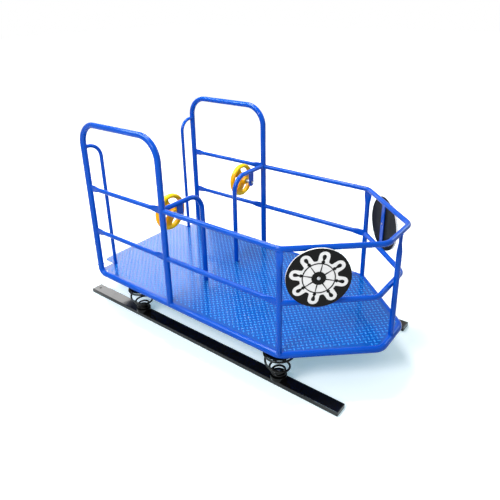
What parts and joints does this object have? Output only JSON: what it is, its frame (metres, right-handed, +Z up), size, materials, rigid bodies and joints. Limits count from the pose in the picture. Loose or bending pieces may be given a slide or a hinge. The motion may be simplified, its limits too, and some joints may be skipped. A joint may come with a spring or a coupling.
{
  "type": "spring rider",
  "caption": "Boat-shaped spring platform: railed tread-plate deck on conical coil springs over ground rails, with steering wheels and round bow panels.",
  "frame": {"origin": "bottom centre of the bounding box, on the ground plane", "axes": "+X towards the bow, +Y to port, +Z up"},
  "size_m": [2.3361, 1.1682, 1.4572],
  "materials": {
    "blue_powder_coat": "gloss",
    "blue_tread_plate": "satin",
    "black_powder_coat": "gloss",
    "black_spring_steel": "gloss",
    "yellow_plastic": "gloss",
    "black_panel": "satin",
    "zinc_plated_steel": "satin"
  },
  "bodies": {
    "ground_frame": {"ground_rail_port": "black_powder_coat", "ground_rail_starboard": "black_powder_coat", "spring_seat_rear_port": "black_powder_coat", "spring_seat_rear_starboard": "black_powder_coat", "spring_seat_front_port": "black_powder_coat", "spring_seat_front_starboard": "black_powder_coat", "seat_bolt_rear_port": "zinc_plated_steel", "seat_bolt_rear_starboard": "zinc_plated_steel", "seat_bolt_front_port": "zinc_plated_steel", "seat_bolt_front_starboard": "zinc_plated_steel"},
    "rear_springs": {"spring_rear_port": "black_spring_steel", "spring_rear_starboard": "black_spring_steel"},
    "front_springs": {"spring_front_port": "black_spring_steel", "spring_front_starboard": "black_spring_steel"},
    "deck": {"bow_post_port": "blue_powder_coat", "bow_post_starboard": "blue_powder_coat", "cross_beam_front": "blue_powder_coat", "cross_beam_rear": "blue_powder_coat", "deck_plate": "blue_tread_plate", "entrance_handle_port": "blue_powder_coat", "entrance_handle_starboard": "blue_powder_coat", "hoop_port": "blue_powder_coat", "hoop_starboard": "blue_powder_coat", "inner_frame_port": "blue_powder_coat", "inner_frame_starboard": "blue_powder_coat", "lower_bow_rail": "blue_powder_coat", "lower_crossbar_port": "blue_powder_coat", "lower_crossbar_starboard": "blue_powder_coat", "lower_side_rail_port": "blue_powder_coat", "lower_side_rail_starboard": "blue_powder_coat", "nose_post": "blue_powder_coat", "panel_bolt_port": "zinc_plated_steel", "panel_bolt_starboard": "zinc_plated_steel", "panel_spacer_port": "zinc_plated_steel", "panel_spacer_starboard": "zinc_plated_steel", "panel_strap_port": "blue_powder_coat", "panel_strap_starboard": "blue_powder_coat", "rim_tube": "blue_powder_coat", "spring_plate_front_port": "black_powder_coat", "spring_plate_front_starboard": "black_powder_coat", "spring_plate_rear_port": "black_powder_coat", "spring_plate_rear_starboard": "black_powder_coat", "stringer_port": "blue_powder_coat", "stringer_starboard": "blue_powder_coat", "upper_crossbar_port": "blue_powder_coat", "upper_crossbar_starboard": "blue_powder_coat", "upper_rail": "blue_powder_coat", "wheel_axle_port": "zinc_plated_steel", "wheel_axle_starboard": "zinc_plated_steel", "wheel_bracket_port": "blue_powder_coat", "wheel_bracket_starboard": "blue_powder_coat", "wheel_nut_port": "zinc_plated_steel", "wheel_nut_starboard": "zinc_plated_steel", "wheel_sleeve_port": "zinc_plated_steel", "wheel_sleeve_starboard": "zinc_plated_steel"},
    "steering_wheel_port": {"steering_wheel_port": "yellow_plastic"},
    "steering_wheel_starboard": {"steering_wheel_starboard": "yellow_plastic"},
    "bow_panel_port": {"bow_panel_port": "black_panel"},
    "bow_panel_starboard": {"bow_panel_starboard": "black_panel"}
  },
  "joints": [
    {"name": "bounce", "type": "slide", "parent": "ground_frame", "child": "rear_springs", "axis": [0, 0, 1], "range_m": [-0.02, 0.015], "stiffness_N_per_m": 80000, "springref_m": 0.01494, "deforming": ["spring_rear_port", "spring_rear_starboard", "spring_front_port", "spring_front_starboard"]},
    {"name": "pitch", "type": "hinge", "parent": "rear_springs", "child": "front_springs", "pos_m": [0.0244, 0, 0.156], "axis": [0, 1, 0], "range_deg": [-3, 3], "stiffness_Nm_per_rad": 30500, "springref_deg": 0.12, "deforming": ["spring_rear_port", "spring_rear_starboard", "spring_front_port", "spring_front_starboard"]},
    {"name": "roll", "type": "hinge", "parent": "front_springs", "child": "deck", "pos_m": [0.0244, 0, 0.156], "axis": [1, 0, 0], "range_deg": [-3.5, 3.5], "stiffness_Nm_per_rad": 18600, "deforming": ["spring_rear_port", "spring_rear_starboard", "spring_front_port", "spring_front_starboard"]},
    {"name": "steering_wheel_starboard_spin", "type": "hinge", "parent": "deck", "child": "steering_wheel_starboard", "pos_m": [-0.3161, -0.39, 0.876], "axis": [1, 0, 0], "continuous": true},
    {"name": "steering_wheel_port_spin", "type": "hinge", "parent": "deck", "child": "steering_wheel_port", "pos_m": [-0.3161, 0.39, 0.876], "axis": [1, 0, 0], "continuous": true},
    {"name": "bow_panel_starboard_spin", "type": "hinge", "parent": "deck", "child": "bow_panel_starboard", "pos_m": [0.84507, -0.4096, 0.791], "axis": [0.6638, -0.7479, 0], "continuous": true},
    {"name": "bow_panel_port_spin", "type": "hinge", "parent": "deck", "child": "bow_panel_port", "pos_m": [0.84507, 0.4096, 0.791], "axis": [0.6638, 0.7479, 0], "continuous": true}
  ]
}
